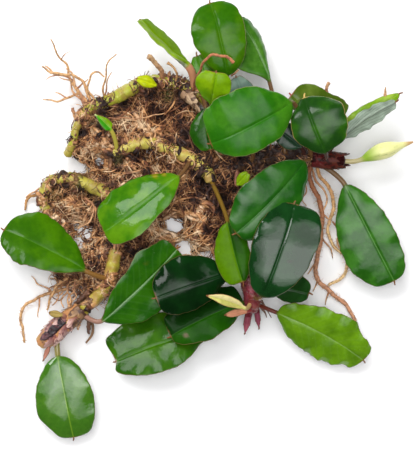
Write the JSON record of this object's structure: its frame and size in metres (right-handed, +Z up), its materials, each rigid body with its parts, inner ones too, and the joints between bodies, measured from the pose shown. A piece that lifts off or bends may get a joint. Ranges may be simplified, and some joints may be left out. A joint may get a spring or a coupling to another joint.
{
  "type": "bucephalandra clump, bare-root",
  "caption": "Bare-root bucephalandra clump: wet glossy oval leaves on creeping rhizomes over a flat mat of brown roots.",
  "frame": {"origin": "middle of the clump's footprint, on the surface it lies on", "axes": "+Z up, out of the flat underside of the root mat; +Y towards the top of the picture, +X towards its right"},
  "size_m": [0.1346, 0.1439, 0.0275],
  "materials": {
    "leaf": "wet glossy mid-green leaf",
    "dark_leaf": "wet glossy very dark green leaf",
    "silver_leaf": "silver-grey leaf underside",
    "young_leaf": "yellow-green young leaf",
    "rhizome": "olive to yellow-green creeping stem with ring scars",
    "sheath": "dark red-brown papery sheath",
    "root": "brown wiry root",
    "root_mat": "felt of fine brown roots"
  },
  "bodies": {
    "root": {"leaf_top_folded": "leaf", "leaf_top_large": "leaf", "leaf_top_behind": "leaf", "leaf_lime_top": "young_leaf", "leaf_upper_large": "leaf", "leaf_upper_below": "leaf", "leaf_grey_back": "silver_leaf", "leaf_top_right": "leaf", "leaf_right_round": "leaf", "leaf_right_behind": "leaf", "leaf_right_shaded": "leaf", "leaf_right_lime": "young_leaf", "leaf_right_silver": "silver_leaf", "leaf_right": "leaf", "leaf_centre_right": "leaf", "leaf_dark_glossy": "dark_leaf", "leaf_glossy_below": "dark_leaf", "leaf_lime_lower": "young_leaf", "leaf_left_centre": "leaf", "leaf_left": "leaf", "leaf_lower_left": "leaf", "leaf_lower_centre": "leaf", "leaf_dark_centre": "dark_leaf", "leaf_front_below": "dark_leaf", "leaf_bottom": "leaf", "leaf_bottom_right": "leaf", "leaflet_centre": "young_leaf", "leaflet_folded": "young_leaf", "bract_top": "young_leaf", "leaflet_front": "young_leaf", "bract_front": "sheath", "bract_front_left": "sheath", "bract_front_right": "sheath", "bract_lower_top": "sheath", "bract_lower_tip": "sheath", "rhizome_top": "rhizome", "rhizome_middle": "rhizome", "rhizome_left": "rhizome", "rhizome_lower": "rhizome", "rhizome_right": "rhizome", "shoot_front": "sheath", "sheath_lower": "sheath", "sheath_right": "sheath", "root_right_main": "root", "root_right_loop": "root", "root_top_left_long": "root", "root_top_left_forked": "root", "root_top_left_low": "root", "root_top_arch": "root", "root_top_upright": "root", "root_left": "root", "root_lower_long": "root", "root_lower_short": "root", "root_lower_side": "root", "root_stub_thick": "root", "root_stub_thin": "root", "root_over_leaf": "root", "spathe_bud": "young_leaf", "root_mat": "root_mat"}
  },
  "joints": []
}
